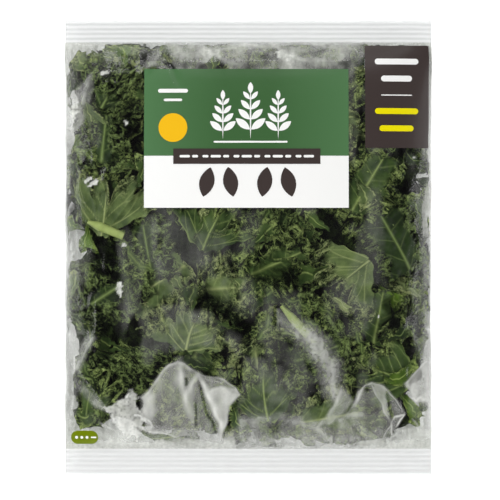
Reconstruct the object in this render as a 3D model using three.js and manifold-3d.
// A sealed, see-through pillow bag of cut curly kale, lying on its back.
// Millimetres. +Z is up and out of the printed front, +Y runs up the pack to its top seal.
// The origin is the middle of the footprint, on the surface that the bag lies on.
//
// The bag is one tube of film: folded at its two sides, closed by a fin seal down the back and by a
// ribbed crimp at each end. Inside lie cut leaf pieces and a few cut stalks, each a solid of its own.

import * as THREE from "three";
import { mergeVertices } from "three/addons/utils/BufferGeometryUtils.js";
import Module from "manifold-3d";

// ---- Driving dimensions -------------------------------------------------------------------------

const BAG_WIDTH = 320;
const BAG_LENGTH = 396;
const TOP_SEAL = 19;
const BOTTOM_SEAL = 22;
const EDGE_HEIGHT = 20; // height of the side folds and crimps above the surface
const FRONT_RISE = 46; // how far the front stands above the side folds
const FIN_WIDTH = 12;
const FIN_THICKNESS = 0.8;
const FIN_SINK = 0.35; // how far the fin seal is sunk into the back film
const WALL = 0.9; // film, far thicker than the real 0.04 so that it is a solid
const RIM_WALL = 1.2; // wall measured in from the side folds and crimps
const CRIMP_PITCH = 4.15;
const CRIMP_WAVE = 0.45;
const CRIMP_THICKNESS = 1.2;
const VENT_RADIUS = 2.5;
const VENT_X = 130;
const VENT_Y = 118;

const BLADE = 1.0; // leaf blade
const RIB_EXTRA = 2.2; // what a midrib adds to the blade's thickness
const STALK_WIDTH = 7.2;
const STALK_THICKNESS = 5.4;
const CLEARANCE = 0.6; // least air between neighbours
const CELL = 3; // spacing of the height map that the pile is built on

const SEED = 4127;

// ---- Colours and finishes -----------------------------------------------------------------------

const finish = (color, roughness, extra = {}) =>
  new THREE.MeshStandardMaterial({ color, roughness, metalness: 0, ...extra });

const FINISHES = {
  film: finish("#e9edf0", 0.12, { transparent: true, opacity: 0.25 }),
  inkGreen: finish("#3f6f3f", 0.35),
  inkWhite: finish("#f7f7f5", 0.35),
  inkDark: finish("#3b3031", 0.35),
  inkYellow: finish("#f2bd12", 0.35),
  inkOlive: finish("#7f9a0a", 0.35),
  leafDark: finish("#2c4420", 0.55),
  leafMid: finish("#44652c", 0.55),
  leafLight: finish("#6f8f45", 0.55),
  stalk: finish("#a3b56a", 0.5),
};

// ---- Shape of the filled bag --------------------------------------------------------------------

const HALF_WIDTH = BAG_WIDTH / 2;
const HALF_LENGTH = BAG_LENGTH / 2;
const BODY_TOP = HALF_LENGTH - TOP_SEAL;
const BODY_BOTTOM = -HALF_LENGTH + BOTTOM_SEAL;
const BODY_MIDDLE = (BODY_TOP + BODY_BOTTOM) / 2;
const BODY_HALF = (BODY_TOP - BODY_BOTTOM) / 2;
const BACK_DROP = EDGE_HEIGHT - FIN_THICKNESS;

// How full the bag is, from 0 on its outline to 1 in its middle. u and v run from -1 to 1. The
// powers say how flat the middle is, and the roundings how steeply the film turns in at the edge.
const SIDE_POWER = 3;
const SIDE_ROUNDING = 0.6;
const END_POWER = 4;
const END_ROUNDING = 0.75;
function fullness(u, v) {
  const across = Math.max(0, 1 - Math.abs(u) ** SIDE_POWER) ** SIDE_ROUNDING;
  const along = Math.max(0, 1 - Math.abs(v) ** END_POWER) ** END_ROUNDING;
  return across * along;
}

const frontRise = (u, v) => FRONT_RISE * fullness(u, v);

// The back rounds down from the side folds and then lies flat, from where the bag is FLAT_FROM full.
const FLAT_FROM = 0.77;
const BACK_ROUNDING = 1.6;
function backDrop(u, v) {
  const reach = Math.min(1, fullness(u, v) / FLAT_FROM);
  return BACK_DROP * (1 - (1 - reach) ** BACK_ROUNDING);
}

const bagU = (x) => x / HALF_WIDTH;
const bagV = (y) => (y - BODY_MIDDLE) / BODY_HALF;
const backHeight = (x, y) => EDGE_HEIGHT - backDrop(bagU(x), bagV(y));

// The film is made of flat facets between these lines, closer together towards the outline, where
// it turns over.
const BAG_COLUMNS = 18;
const BAG_ROWS = 20;
const CROWDING = 0.75;
const spread = (step, count) => {
  const even = (2 * step) / count - 1;
  return Math.sin((even * Math.PI) / 2) * CROWDING + even * (1 - CROWDING);
};

// Each facet is split so that its long side runs out towards the nearest corner of the bag.
const splitOutwards = (i, j) => i < BAG_COLUMNS / 2 === j < BAG_ROWS / 2;

// What the facets make of a height that is given over (u, v).
function onFacets(height, u, v) {
  const cellOf = (share, count) => {
    let n = 0;
    while (n < count - 1 && spread(n + 1, count) <= share) n++;
    return [n, (share - spread(n, count)) / (spread(n + 1, count) - spread(n, count))];
  };
  const [i, s] = cellOf(u, BAG_COLUMNS);
  const [j, t] = cellOf(v, BAG_ROWS);
  const corner = (di, dj) => height(spread(i + di, BAG_COLUMNS), spread(j + dj, BAG_ROWS));
  const [a, b, c, d] = [corner(0, 0), corner(1, 0), corner(1, 1), corner(0, 1)];
  if (splitOutwards(i, j))
    return s >= t ? a + (b - a) * s + (c - b) * t : a + (d - a) * t + (c - d) * s;
  return s + t <= 1 ? a + (b - a) * s + (d - a) * t : c + (d - c) * (1 - s) + (b - c) * (1 - t);
}

// The inside is the outside drawn in towards the middle by the film's wall.
const INNER_HALF_WIDTH = HALF_WIDTH - RIM_WALL;
const INNER_BODY_HALF = BODY_HALF - RIM_WALL;
const FRONT_INSET = 1 - WALL / FRONT_RISE;
const BACK_INSET = 1 - WALL / BACK_DROP;
const innerU = (x) => THREE.MathUtils.clamp(x / INNER_HALF_WIDTH, -1, 1);
const innerV = (y) => THREE.MathUtils.clamp((y - BODY_MIDDLE) / INNER_BODY_HALF, -1, 1);
const roomTop = (x, y) =>
  EDGE_HEIGHT + FRONT_INSET * onFacets(frontRise, innerU(x), innerV(y));
const roomBottom = (x, y) =>
  EDGE_HEIGHT - BACK_INSET * onFacets(backDrop, innerU(x), innerV(y));

// ---- Solids -------------------------------------------------------------------------------------

const wasm = await Module();
wasm.setup();

function solidOf(geometry) {
  const bare = geometry.index ? geometry.toNonIndexed() : geometry.clone();
  bare.deleteAttribute("normal");
  bare.deleteAttribute("uv");
  const merged = mergeVertices(bare, 1e-4);
  return new wasm.Manifold(
    new wasm.Mesh({
      numProp: 3,
      vertProperties: merged.attributes.position.array,
      triVerts: new Uint32Array(merged.index.array),
    }),
  );
}

function geometryOf(solid) {
  const mesh = solid.getMesh();
  const corners = new Float32Array(mesh.numVert * 3);
  for (let i = 0; i < mesh.numVert; i++) {
    const start = i * mesh.numProp;
    corners.set(mesh.vertProperties.subarray(start, start + 3), i * 3);
  }
  const geometry = new THREE.BufferGeometry();
  geometry.setAttribute("position", new THREE.BufferAttribute(corners, 3));
  geometry.setIndex(new THREE.BufferAttribute(mesh.triVerts, 1));
  return geometry;
}

function geometryFrom(points, triangles) {
  const geometry = new THREE.BufferGeometry();
  geometry.setAttribute("position", new THREE.Float32BufferAttribute(points.flat(), 3));
  geometry.setIndex(triangles.flat());
  return geometry;
}

// Two faces over one grid of columns by rows, closed round its rim: upper(i, j) and lower(i, j) are
// corners, and both faces are split alike. turned(i, j) says which way a cell is split.
function slab(columns, rows, upper, lower, turned = () => false) {
  const points = [];
  const triangles = [];
  const wide = columns + 1;
  const top = (i, j) => j * wide + i;
  const bottom = (i, j) => wide * (rows + 1) + top(i, j);
  for (const face of [upper, lower])
    for (let j = 0; j <= rows; j++)
      for (let i = 0; i <= columns; i++) points.push(face(i, j));
  for (let j = 0; j < rows; j++)
    for (let i = 0; i < columns; i++)
      for (const [at, flip] of [[top, false], [bottom, true]]) {
        const cell = [at(i, j), at(i + 1, j), at(i + 1, j + 1), at(i, j + 1)];
        const [a, b, c, d] = turned(i, j) ? [cell[1], cell[2], cell[3], cell[0]] : cell;
        triangles.push(flip ? [a, c, b] : [a, b, c], flip ? [a, d, c] : [a, c, d]);
      }
  const wall = (i0, j0, i1, j1) =>
    triangles.push(
      [top(i0, j0), bottom(i0, j0), bottom(i1, j1)],
      [top(i0, j0), bottom(i1, j1), top(i1, j1)],
    );
  for (let i = 0; i < columns; i++) {
    wall(i, 0, i + 1, 0);
    wall(i + 1, rows, i, rows);
  }
  for (let j = 0; j < rows; j++) {
    wall(0, j + 1, 0, j);
    wall(columns, j, columns, j + 1);
  }
  return geometryFrom(points, triangles);
}

// ---- The film bag -------------------------------------------------------------------------------

// A closed pillow: the two faces share their outline, so the rim has no wall.
function pillow(halfWidth, bodyHalf, frontInset, backInset) {
  const points = [];
  const triangles = [];
  const wide = BAG_COLUMNS + 1;
  for (const back of [false, true])
    for (let j = 0; j <= BAG_ROWS; j++)
      for (let i = 0; i <= BAG_COLUMNS; i++) {
        const u = spread(i, BAG_COLUMNS);
        const v = spread(j, BAG_ROWS);
        const off = back ? -backInset * backDrop(u, v) : frontInset * frontRise(u, v);
        points.push([u * halfWidth, BODY_MIDDLE + v * bodyHalf, EDGE_HEIGHT + off]);
      }
  for (let j = 0; j < BAG_ROWS; j++)
    for (let i = 0; i < BAG_COLUMNS; i++) {
      const cell = [j * wide + i, j * wide + i + 1, (j + 1) * wide + i + 1, (j + 1) * wide + i];
      const [a, b, c, d] = splitOutwards(i, j) ? cell : [cell[1], cell[2], cell[3], cell[0]];
      const back = wide * (BAG_ROWS + 1);
      triangles.push([a, b, c], [a, c, d]);
      triangles.push([a + back, c + back, b + back], [a + back, d + back, c + back]);
    }
  return solidOf(geometryFrom(points, triangles));
}

// A profile in (y, z) drawn out along x, centred on x = 0.
function drawnAcross(profile, width) {
  const shape = new THREE.Shape(profile.map(([y, z]) => new THREE.Vector2(y, z)));
  const geometry = new THREE.ExtrudeGeometry(shape, { depth: width, bevelEnabled: false });
  geometry.translate(0, 0, -width / 2);
  const yzToRow = new THREE.Matrix4().set(0, 0, 1, 0, 1, 0, 0, 0, 0, 1, 0, 0, 0, 0, 0, 1);
  return solidOf(geometry.applyMatrix4(yzToRow));
}

// The two films pressed together between ribbed jaws.
function crimp(from, to) {
  const stepsInRib = 4;
  const steps = Math.round(((to - from) * stepsInRib) / CRIMP_PITCH);
  const line = Array.from({ length: steps + 1 }, (_, n) => from + ((to - from) * n) / steps);
  const wave = (y) => CRIMP_WAVE * Math.sin((2 * Math.PI * (y - from)) / CRIMP_PITCH);
  const half = CRIMP_THICKNESS / 2;
  const lower = line.map((y) => [y, EDGE_HEIGHT + wave(y) - half]);
  const upper = line.map((y) => [y, EDGE_HEIGHT + wave(y) + half]);
  return drawnAcross([...lower, ...upper.reverse()], BAG_WIDTH);
}

// The lapped seam down the middle of the back, which the bag lies on. It follows the back film,
// a little sunk into it, and runs out under both crimps.
function finSeal() {
  const steps = 26;
  const underCrimp = EDGE_HEIGHT - CRIMP_THICKNESS / 2 - CRIMP_WAVE - FIN_THICKNESS;
  const inCrimp = EDGE_HEIGHT - CRIMP_THICKNESS / 4;
  const line = [];
  for (let n = 0; n <= steps; n++) {
    const v = spread(n, steps);
    line.push([BODY_MIDDLE + v * BODY_HALF, EDGE_HEIGHT - backDrop(0, v)]);
  }
  const pairs = line.map(([y, z], n) => {
    const before = line[Math.max(0, n - 1)];
    const after = line[Math.min(steps, n + 1)];
    const along = new THREE.Vector2(after[0] - before[0], after[1] - before[1]).normalize();
    const shifted = (distance) => [y + along.y * distance, z - along.x * distance];
    return { under: shifted(FIN_THICKNESS), over: shifted(-FIN_SINK) };
  });
  const end = (y, overY = y) => ({ under: [y, underCrimp], over: [overY, inCrimp] });
  const run = [
    end(-HALF_LENGTH),
    end(BODY_BOTTOM - FIN_THICKNESS, BODY_BOTTOM + FIN_SINK),
    ...pairs.filter(({ over }) => over[1] < underCrimp),
    end(BODY_TOP + FIN_THICKNESS, BODY_TOP - FIN_SINK),
    end(HALF_LENGTH),
  ];
  const corner = (face) => (i, j) => [(i - 0.5) * FIN_WIDTH, ...run[j][face]];
  return solidOf(slab(1, run.length - 1, corner("over"), corner("under")));
}

// Small round holes that let the leaves breathe, in the rounded border of the back.
function vents() {
  const depth = 8;
  const sides = 10;
  const places = [-1, 1].flatMap((sx) => [-1, 1].map((sy) => [sx * VENT_X, sy * VENT_Y]));
  return places.map(([x, y]) => {
    const hole = new THREE.CylinderGeometry(VENT_RADIUS, VENT_RADIUS, depth, sides);
    hole.rotateX(Math.PI / 2);
    return solidOf(hole.translate(x, y, backHeight(x, y)));
  });
}

function filmBag() {
  const outside = pillow(HALF_WIDTH, BODY_HALF, 1, 1);
  const inside = pillow(INNER_HALF_WIDTH, INNER_BODY_HALF, FRONT_INSET, BACK_INSET);
  const overlap = 1;
  let bag = outside
    .subtract(inside)
    .add(crimp(BODY_TOP - overlap, HALF_LENGTH))
    .add(crimp(-HALF_LENGTH, BODY_BOTTOM + overlap))
    .add(finSeal());
  for (const vent of vents()) bag = bag.subtract(vent);
  return geometryOf(bag);
}

// ---- Printed areas on the front -----------------------------------------------------------------

const INK_GAP = 0.5;
const INK_THICKNESS = 0.4;

const LABEL = { left: -90.4, right: 87.1, top: 155.2, split: 79.4, bottom: 34.3 };
const BAND = { left: -65, right: 62.5, top: 85.7, bottom: 72.3 };
const CORNER = { left: 101.5, right: 155.5, top: 174, bottom: 86.4 };
const BADGE = { x: -65.3, y: 103.9, radius: 12.5 };
const PILL = { x: -143, y: -165.7, radius: 5.9, straight: 12.1 };

const inkLayer = (layer) => INK_GAP + layer * (INK_THICKNESS + INK_GAP);

// The height of the front film's flat facets, so that the ink lies evenly over them.
const facetHeight = (x, y) => EDGE_HEIGHT + onFacets(frontRise, bagU(x), bagV(y));

// The lines of the film's own facets between two edges, with the edges.
function facetLines(from, to, count, place) {
  const least = 1.5;
  const lines = Array.from({ length: count + 1 }, (_, n) => place(spread(n, count)));
  return [from, ...lines.filter((at) => at > from + least && at < to - least), to];
}

// A rectangle of ink that follows the front film.
function inkPanel({ left, right, top, bottom }, layer) {
  const xs = facetLines(left, right, BAG_COLUMNS, (u) => u * HALF_WIDTH);
  const ys = facetLines(bottom, top, BAG_ROWS, (v) => BODY_MIDDLE + v * BODY_HALF);
  const corner = (lift) => (i, j) => [xs[i], ys[j], facetHeight(xs[i], ys[j]) + lift];
  const under = inkLayer(layer);
  const turned = (i, j) => xs[i] < 0 !== ys[j] < BODY_MIDDLE;
  return slab(xs.length - 1, ys.length - 1, corner(under + INK_THICKNESS), corner(under), turned);
}

// A disc of ink, or a pill: two half turns a straight stretch apart.
function inkRound({ x, y, radius, straight = 0 }, layer) {
  const sides = 20;
  const rings = 2;
  const place = (i, j) => {
    const turn = (2 * Math.PI * (i + 0.5)) / sides;
    const out = j / rings;
    const shift = (Math.sign(Math.cos(turn)) * straight) / 2;
    return [x + out * (shift + radius * Math.cos(turn)), y + out * radius * Math.sin(turn)];
  };
  const points = [];
  for (const lift of [inkLayer(layer) + INK_THICKNESS, inkLayer(layer)]) {
    const lifted = ([px, py]) => [px, py, facetHeight(px, py) + lift];
    points.push(lifted([x, y]));
    for (let j = 1; j <= rings; j++)
      for (let i = 0; i < sides; i++) points.push(lifted(place(i, j)));
  }
  const under = 1 + rings * sides;
  const ring = (j, i) => 1 + (j - 1) * sides + (i % sides);
  const triangles = [];
  for (let i = 0; i < sides; i++) {
    triangles.push([0, ring(1, i), ring(1, i + 1)]);
    triangles.push([under, under + ring(1, i + 1), under + ring(1, i)]);
    const [a, b, c, d] = [ring(1, i), ring(2, i), ring(2, i + 1), ring(1, i + 1)];
    triangles.push([a, b, c], [a, c, d]);
    triangles.push([under + a, under + c, under + b], [under + a, under + d, under + c]);
    triangles.push([b, under + b, under + c], [b, under + c, c]);
  }
  return geometryFrom(points, triangles);
}

// ---- Kale pieces --------------------------------------------------------------------------------

// A repeatable draw from 0 to 1.
function draws(seed) {
  let state = seed;
  return () => {
    state = (state * 16807) % 2147483647;
    return state / 2147483647;
  };
}

// The pieces that lie against the front film, each with its place, the way it opens, its size,
// and how pale it is. A fan is a side lobe cut from the leaf, with its veins from one point.
// A strip has the midrib down its middle. A stalk is a bare cut midrib.
const FRONT_PIECES = [
  { kind: "stalk", x: -124, y: 16, turn: 338, size: 34, tone: "stalk" },
  { kind: "stalk", x: 46, y: -70, turn: 312, size: 52, tone: "stalk" },
  { kind: "fan", x: -120, y: 40, turn: 78, size: 60, spread: 48, tone: "leafLight" },
  { kind: "fan", x: -30, y: 24, turn: 70, size: 56, spread: 52, tone: "leafMid" },
  { kind: "fan", x: -50, y: -66, turn: 80, size: 46, spread: 74, tone: "leafLight" },
  { kind: "fan", x: 84, y: -26, turn: 215, size: 50, spread: 56, tone: "leafLight" },
  { kind: "fan", x: 112, y: -108, turn: 160, size: 54, spread: 58, tone: "leafMid" },
  { kind: "fan", x: 12, y: -122, turn: 100, size: 62, spread: 50, tone: "leafMid" },
  { kind: "strip", x: 104, y: 56, turn: 60, size: 58, tone: "leafMid" },
  { kind: "strip", x: 126, y: 6, turn: 118, size: 58, tone: "leafDark" },
  { kind: "fan", x: -112, y: 146, turn: 60, size: 56, spread: 60, tone: "leafDark" },
  { kind: "strip", x: -124, y: 96, turn: 84, size: 56, tone: "leafDark" },
  { kind: "fan", x: -118, y: -138, turn: 30, size: 54, spread: 58, tone: "leafMid" },
  { kind: "strip", x: 24, y: -14, turn: 24, size: 64, tone: "leafMid" },
  { kind: "strip", x: -118, y: -38, turn: 35, size: 60, tone: "leafDark" },
  { kind: "strip", x: -56, y: -132, turn: 140, size: 60, tone: "leafLight" },
  { kind: "strip", x: 76, y: -148, turn: 12, size: 60, tone: "leafLight" },
  { kind: "strip", x: -88, y: 0, turn: 100, size: 52, tone: "leafDark" },
  { kind: "strip", x: 60, y: -92, turn: 20, size: 56, tone: "leafDark" },
  { kind: "strip", x: 112, y: -64, turn: 80, size: 52, tone: "leafMid" },
];

// A lattice of pieces in each half of the bag, every second row set off sideways, and each piece
// a little off its place, turned and sized by a draw.
const LATTICE_COLUMNS = 4;
const LATTICE_ROWS = 4;
const LATTICE_HALF_WIDTH = 136;
const LATTICE_HALF_LENGTH = 160;
const ROW_OFFSET = 0.25; // in columns, one way and then the other
const SCATTER = 18; // how far apart a piece's possible places are
const FAN_SHARE = 0.55;
const LEAF_TONES = ["leafDark", "leafMid", "leafDark", "leafMid", "leafLight"];

function latticePieces(random, side) {
  const between = (low, high) => low + random() * (high - low);
  const pieces = [];
  for (let j = 0; j < LATTICE_ROWS; j++)
    for (let i = 0; i < LATTICE_COLUMNS; i++) {
      const offset = j % 2 ? ROW_OFFSET : -ROW_OFFSET;
      const u = ((i + 0.5 + offset) / LATTICE_COLUMNS) * 2 - 1;
      const v = ((j + 0.5) / LATTICE_ROWS) * 2 - 1;
      pieces.push({
        side,
        kind: random() < FAN_SHARE ? "fan" : "strip",
        x: u * LATTICE_HALF_WIDTH + between(-SCATTER / 2, SCATTER / 2),
        y: BODY_MIDDLE + v * LATTICE_HALF_LENGTH + between(-SCATTER / 2, SCATTER / 2),
        turn: between(0, 360),
        size: between(58, 70),
        spread: between(46, 64),
        tone: LEAF_TONES[Math.floor(random() * LEAF_TONES.length)],
      });
    }
  return pieces;
}

// The leaves stay within these distances from the middle. A coordinate is drawn in towards its
// limit, ever more tightly from EASE_FROM of it on, so that nothing reaches it.
const SIDE_LIMIT = 153;
const LENGTH_LIMIT = 168;
const EASE_FROM = 0.82;
function eased(value, limit) {
  const share = Math.abs(value) / limit;
  if (share < EASE_FROM) return value;
  const rest = 1 - EASE_FROM;
  return Math.sign(value) * limit * (EASE_FROM + rest * Math.tanh((share - EASE_FROM) / rest));
}

// Columns and rows of each kind's grid, and what gives it its outline.
const KINDS = {
  fan: { columns: 14, rows: 3, point: 0.07, lobes: 5, lobeDepth: 0.1, nick: 0.06 },
  strip: { columns: 11, rows: 4, half: 0.44, lobes: 4, lobeDepth: 0.14, nick: 0.07 },
  stalk: { columns: 8, rows: 4, taper: 0.12 },
};
const FAN_BACK = 0.58; // share of a fan's size that its point lies behind its place
const FOLD = [3, 8]; // how far the margin lies above or below the rib
const CURL = 5; // how far the two ends curl up or down
const FRILL = [3.2, 5.2]; // height of the frill at the margin

// A fan's corner: a runs across the fan from -1 to 1, and edge from its point to its margin.
function fanCorner(piece, a, j, nick) {
  const { rows, point, lobes, lobeDepth } = KINDS.fan;
  const edge = point + ((1 - point) * j) / rows;
  const lobe = 1 + lobeDepth * Math.cos(a * lobes + piece.phase) + nick(edge);
  const angle = -THREE.MathUtils.degToRad(a * piece.spread);
  return {
    along: piece.size * (edge * lobe * Math.cos(angle) - FAN_BACK),
    across: piece.size * edge * lobe * Math.sin(angle),
    edge,
    fold: Math.abs(a) * edge,
    extra: a === 0 ? RIB_EXTRA * (1 - edge) : 0,
  };
}

// A strip's corner: a runs along its midrib from -1 to 1, and b across it.
function stripCorner(piece, a, j, nick) {
  const { rows, half, lobes, lobeDepth } = KINDS.strip;
  const b = (2 * j) / rows - 1;
  const edge = Math.abs(b);
  const lobe = 1 + lobeDepth * Math.cos(a * lobes + piece.phase) + nick(edge);
  return {
    along: (piece.size / 2) * a * (1.1 - 0.12 * edge),
    across: b * piece.size * half * lobe,
    edge,
    fold: edge,
    extra: b === 0 ? RIB_EXTRA * (0.75 - 0.25 * a) : 0,
  };
}

// A stalk's corner: round across, and a little narrower towards its upper end.
function stalkCorner(piece, a, j) {
  const { rows, taper } = KINDS.stalk;
  const b = (2 * j) / rows - 1;
  return {
    along: (piece.size / 2) * a,
    across: (b * STALK_WIDTH * (1 - taper * a)) / 2,
    edge: 0,
    fold: 0,
    extra: (STALK_THICKNESS - BLADE) * (1 - b * b),
  };
}

// Corner (i, j) of a piece's grid: its place in plan, its own relief and its extra thickness.
function leafCorner(piece, i, j) {
  const { columns, nick: depth } = KINDS[piece.kind];
  const a = (2 * i) / columns - 1;
  const ripple = (i + j) % 2 ? 1 : -1;
  const nick = (edge) => (edge === 1 ? depth * ripple : 0);
  const shape = { fan: fanCorner, strip: stripCorner, stalk: stalkCorner }[piece.kind];
  const { along, across, edge, fold, extra } = shape(piece, a, j, nick);
  const turn = THREE.MathUtils.degToRad(piece.turn);
  const x = piece.x + along * Math.cos(turn) - across * Math.sin(turn);
  const y = piece.y + along * Math.sin(turn) + across * Math.cos(turn);
  return {
    x: eased(x, SIDE_LIMIT),
    y: BODY_MIDDLE + eased(y - BODY_MIDDLE, LENGTH_LIMIT),
    relief: piece.fold * fold + piece.curl * a * a * edge + piece.frill * ripple * edge * edge,
    extra,
  };
}

// The pile is built on two height maps, one rising from the back film and one growing down from
// the front film. Heights are counted from the film that the pile starts on.
const MAP_WIDE = Math.ceil(BAG_WIDTH / CELL) + 1;
const MAP_LONG = Math.ceil(BAG_LENGTH / CELL) + 1;
const mapX = (i) => -HALF_WIDTH + i * CELL;
const mapY = (j) => -HALF_LENGTH + j * CELL;
const mapIndex = (x, y) =>
  Math.round((y + HALF_LENGTH) / CELL) * MAP_WIDE + Math.round((x + HALF_WIDTH) / CELL);

function newMap(height) {
  const map = new Float64Array(MAP_WIDE * MAP_LONG);
  for (let j = 0; j < MAP_LONG; j++)
    for (let i = 0; i < MAP_WIDE; i++) map[j * MAP_WIDE + i] = height(mapX(i), mapY(j));
  return map;
}

// The highest value among each cell and its neighbours.
function widened(map) {
  const out = Float64Array.from(map);
  for (let j = 1; j < MAP_LONG - 1; j++)
    for (let i = 1; i < MAP_WIDE - 1; i++)
      for (let dj = -1; dj <= 1; dj++)
        for (let di = -1; di <= 1; di++) {
          const at = (j + dj) * MAP_WIDE + i + di;
          out[j * MAP_WIDE + i] = Math.max(out[j * MAP_WIDE + i], map[at]);
        }
  return out;
}

// The map cells under a triangle, each with its share of the three corners, and the corners and
// the middles of the sides, which may lie between cells.
const SIDE_SHARES = [
  [1, 0, 0], [0, 1, 0], [0, 0, 1], [0.5, 0.5, 0], [0, 0.5, 0.5], [0.5, 0, 0.5],
];
function cellsUnder(corners, [p, q, r]) {
  const [a, b, c] = [corners[p], corners[q], corners[r]];
  const area = (b.x - a.x) * (c.y - a.y) - (c.x - a.x) * (b.y - a.y);
  const rounding = 1e-9;
  const found = [];
  const [left, right] = [Math.min(a.x, b.x, c.x), Math.max(a.x, b.x, c.x)];
  const [low, high] = [Math.min(a.y, b.y, c.y), Math.max(a.y, b.y, c.y)];
  for (let j = Math.ceil((low + HALF_LENGTH) / CELL); mapY(j) <= high; j++)
    for (let i = Math.ceil((left + HALF_WIDTH) / CELL); mapX(i) <= right; i++) {
      const [x, y] = [mapX(i), mapY(j)];
      const s = ((b.x - x) * (c.y - y) - (c.x - x) * (b.y - y)) / area;
      const t = ((c.x - x) * (a.y - y) - (a.x - x) * (c.y - y)) / area;
      if (s >= -rounding && t >= -rounding && s + t <= 1 + rounding)
        found.push([j * MAP_WIDE + i, s, t, 1 - s - t]);
    }
  for (const [s, t, w] of SIDE_SHARES)
    found.push([mapIndex(s * a.x + t * b.x + w * c.x, s * a.y + t * b.y + w * c.y), s, t, w]);
  return found;
}

function gridTriangles(columns, rows) {
  const triangles = [];
  const wide = columns + 1;
  for (let j = 0; j < rows; j++)
    for (let i = 0; i < columns; i++) {
      const at = j * wide + i;
      triangles.push([at, at + 1, at + wide + 1], [at, at + wide + 1, at + wide]);
    }
  return triangles;
}

// The corners beside corner n in its grid.
function neighbours(n, columns, rows) {
  const wide = columns + 1;
  const [i, j] = [n % wide, Math.floor(n / wide)];
  const near = [];
  if (i > 0) near.push(n - 1);
  if (i < columns) near.push(n + 1);
  if (j > 0) near.push(n - wide);
  if (j < rows) near.push(n + wide);
  return near;
}

// Lets a piece down on to the pile: first as it is, and then bending until it lies on what is
// under it, no corner by more than BEND below its neighbours' mean. side is 1 for the pile on the
// back film and -1 for the one against the front film. Where the bag is shallow, so is the relief.
const FULL_ROOM = 44;
const LEAST_RELIEF = 0.12;
const BEND = 3.2;
const SAG_STEPS = [3, 1.5, 0.7];
const SAG_PASSES = 16;
function settle(piece, pile, opposite, side, relief) {
  const { columns, rows } = KINDS[piece.kind];
  const corners = [];
  for (let j = 0; j <= rows; j++)
    for (let i = 0; i <= columns; i++) {
      const corner = leafCorner(piece, i, j);
      const room = roomTop(corner.x, corner.y) - roomBottom(corner.x, corner.y);
      corner.own = corner.relief * relief * THREE.MathUtils.clamp(room / FULL_ROOM, LEAST_RELIEF, 1);
      corner.half = (BLADE + corner.extra) / 2;
      corner.sag = 0;
      corners.push(corner);
    }
  const triangles = gridTriangles(columns, rows);
  const under = triangles.map((triangle) => cellsUnder(corners, triangle));
  const touching = corners.map((_, n) =>
    triangles.flatMap((triangle, k) => (triangle.includes(n) ? [k] : [])),
  );
  const low = ({ own, sag, half }) => own - sag - half;
  const high = ({ own, sag, half }) => own - sag + half;
  // The face's height over one cell, from the heights of its three corners.
  const over = (k, [, s, t, w], level) => {
    const [p, q, r] = triangles[k];
    return s * level(corners[p]) + t * level(corners[q]) + w * level(corners[r]);
  };
  const lift = Math.max(
    ...under.flatMap((cells, k) => cells.map((cell) => pile[cell[0]] + CLEARANCE - over(k, cell, low))),
  );
  const clear = (k) =>
    under[k].every((cell) => lift + over(k, cell, low) >= pile[cell[0]] + CLEARANCE);
  for (const step of SAG_STEPS)
    for (let pass = 0; pass < SAG_PASSES; pass++)
      corners.forEach((corner, n) => {
        const near = neighbours(n, columns, rows);
        const mean = near.reduce((sum, m) => sum + corners[m].sag, 0) / near.length;
        if (corner.sag + step > mean + BEND) return;
        corner.sag += step;
        if (!touching[n].every(clear)) corner.sag -= step;
      });
  const fits = triangles.every((_, k) =>
    under[k].every((cell) => lift + over(k, cell, high) <= -opposite[cell[0]] - CLEARANCE),
  );
  const grown = Float64Array.from(pile, () => -Infinity);
  under.forEach((cells, k) => {
    for (const cell of cells)
      grown[cell[0]] = Math.max(grown[cell[0]], lift + over(k, cell, high));
  });
  for (const corner of corners) corner.middle = side * (lift + corner.own - corner.sag);
  return { fits, grown: widened(grown), corners, columns, rows };
}

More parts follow.
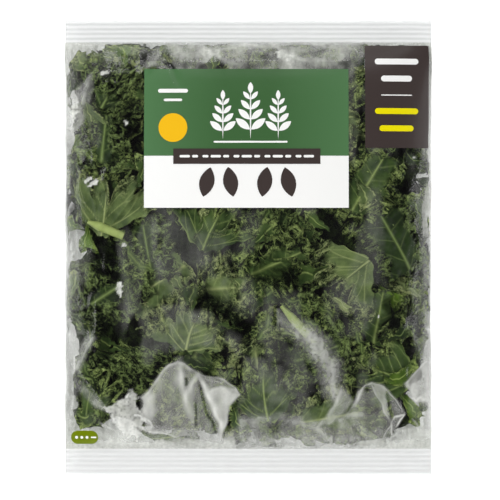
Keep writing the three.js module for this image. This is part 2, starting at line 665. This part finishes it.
function blade({ corners, columns, rows }) {
  const at = (sign) => (i, j) => {
    const { x, y, middle, half } = corners[j * (columns + 1) + i];
    return [x, y, middle + sign * half];
  };
  return slab(columns, rows, at(1), at(-1));
}

// Every piece in turn, on the back film or against the front film. A piece that would reach
// through to the other pile is made flatter until it fits.
function kalePieces() {
  const random = draws(SEED);
  const list = [
    ...FRONT_PIECES.map((piece) => ({ side: -1, ...piece })),
    ...latticePieces(random, -1),
    ...latticePieces(random, 1),
  ];
  const piles = { [1]: newMap(roomBottom), [-1]: newMap((x, y) => -roomTop(x, y)) };
  return list.map((drawn, n) => {
    const piece = {
      ...drawn,
      phase: random() * Math.PI * 2,
      fold: (random() < 0.5 ? -1 : 1) * (FOLD[0] + random() * (FOLD[1] - FOLD[0])),
      curl: (random() * 2 - 1) * CURL,
      frill: FRILL[0] + random() * (FRILL[1] - FRILL[0]),
    };
    const pile = piles[piece.side];
    let laid;
    for (const relief of [1, 0.75, 0.5, 0.3, 0.15]) {
      laid = settle(piece, pile, piles[-piece.side], piece.side, relief);
      if (laid.fits) break;
    }
    if (!laid.fits) throw new Error(`kale piece ${n + 1} has no room`);
    laid.grown.forEach((height, cell) => (pile[cell] = Math.max(pile[cell], height)));
    const part = piece.kind === "stalk" ? "stalk" : "leaf";
    const name = `kale_${part}_${String(n + 1).padStart(2, "0")}`;
    return { name, geometry: blade(laid), tone: piece.tone };
  });
}

// ---- The object ---------------------------------------------------------------------------------

const bag = new THREE.Group();
const add = (name, geometry, tone) => {
  const mesh = new THREE.Mesh(geometry, FINISHES[tone]);
  mesh.name = name;
  bag.add(mesh);
};

add("film_bag", filmBag(), "film");
add("print_upper_panel", inkPanel({ ...LABEL, bottom: LABEL.split + INK_GAP }, 0), "inkGreen");
add("print_lower_panel", inkPanel({ ...LABEL, top: LABEL.split }, 0), "inkWhite");
add("print_band", inkPanel(BAND, 1), "inkDark");
add("print_badge", inkRound(BADGE, 1), "inkYellow");
add("print_corner_panel", inkPanel(CORNER, 0), "inkDark");
add("print_pill", inkRound(PILL, 0), "inkOlive");
for (const { name, geometry, tone } of kalePieces()) add(name, geometry, tone);

export default bag;
